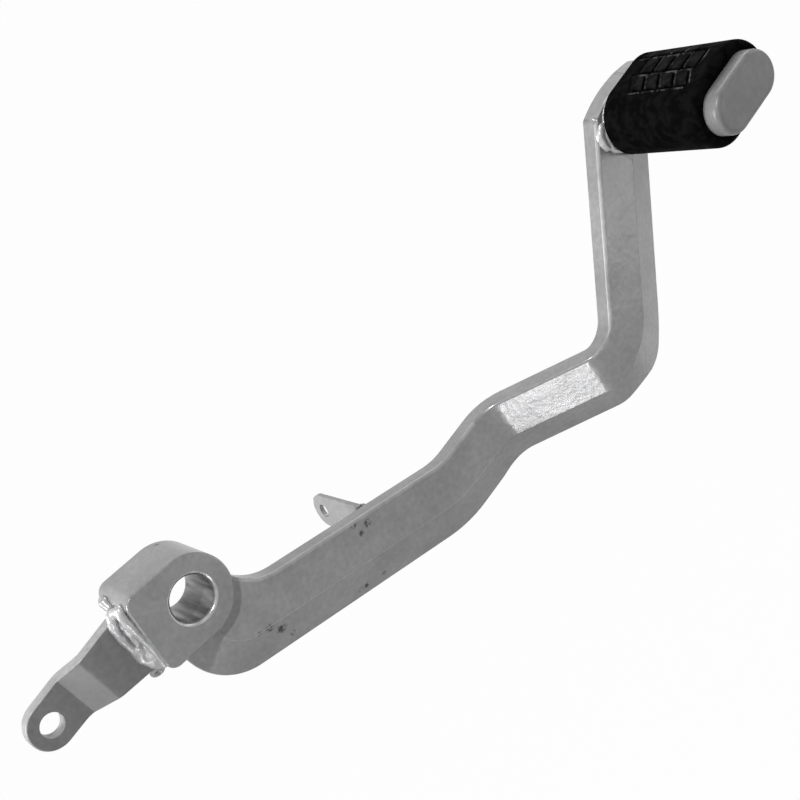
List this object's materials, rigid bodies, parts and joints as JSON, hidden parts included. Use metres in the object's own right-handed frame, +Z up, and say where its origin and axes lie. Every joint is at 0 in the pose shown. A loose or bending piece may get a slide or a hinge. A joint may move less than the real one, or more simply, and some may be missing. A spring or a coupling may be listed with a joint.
{
  "type": "rear brake pedal",
  "caption": "Bent, bevelled brake pedal arm with a bored pivot boss at one end, a joggled rod lever behind it, a spring tab and a rubber-sleeved oval toe pad.",
  "frame": {"origin": "centre of the pivot bore, half way along it", "axes": "+X forward from the pivot to the toe pad, +Y inboard along the pivot bore, +Z up as fitted"},
  "size_m": [0.3031, 0.1198, 0.093],
  "materials": {
    "silver_paint": "semi-gloss metallic silver paint on steel",
    "pad_rubber": "matt moulded rubber"
  },
  "bodies": {
    "root": {"pedal_arm": "silver_paint", "pivot_boss": "silver_paint", "actuating_lever": "silver_paint", "spring_tab": "silver_paint", "toe_peg": "silver_paint", "pad_rubber": "pad_rubber", "weld_lever_outer": "silver_paint", "weld_lever_inner": "silver_paint", "weld_arm": "silver_paint", "weld_peg": "silver_paint", "weld_tab": "silver_paint"}
  },
  "joints": []
}
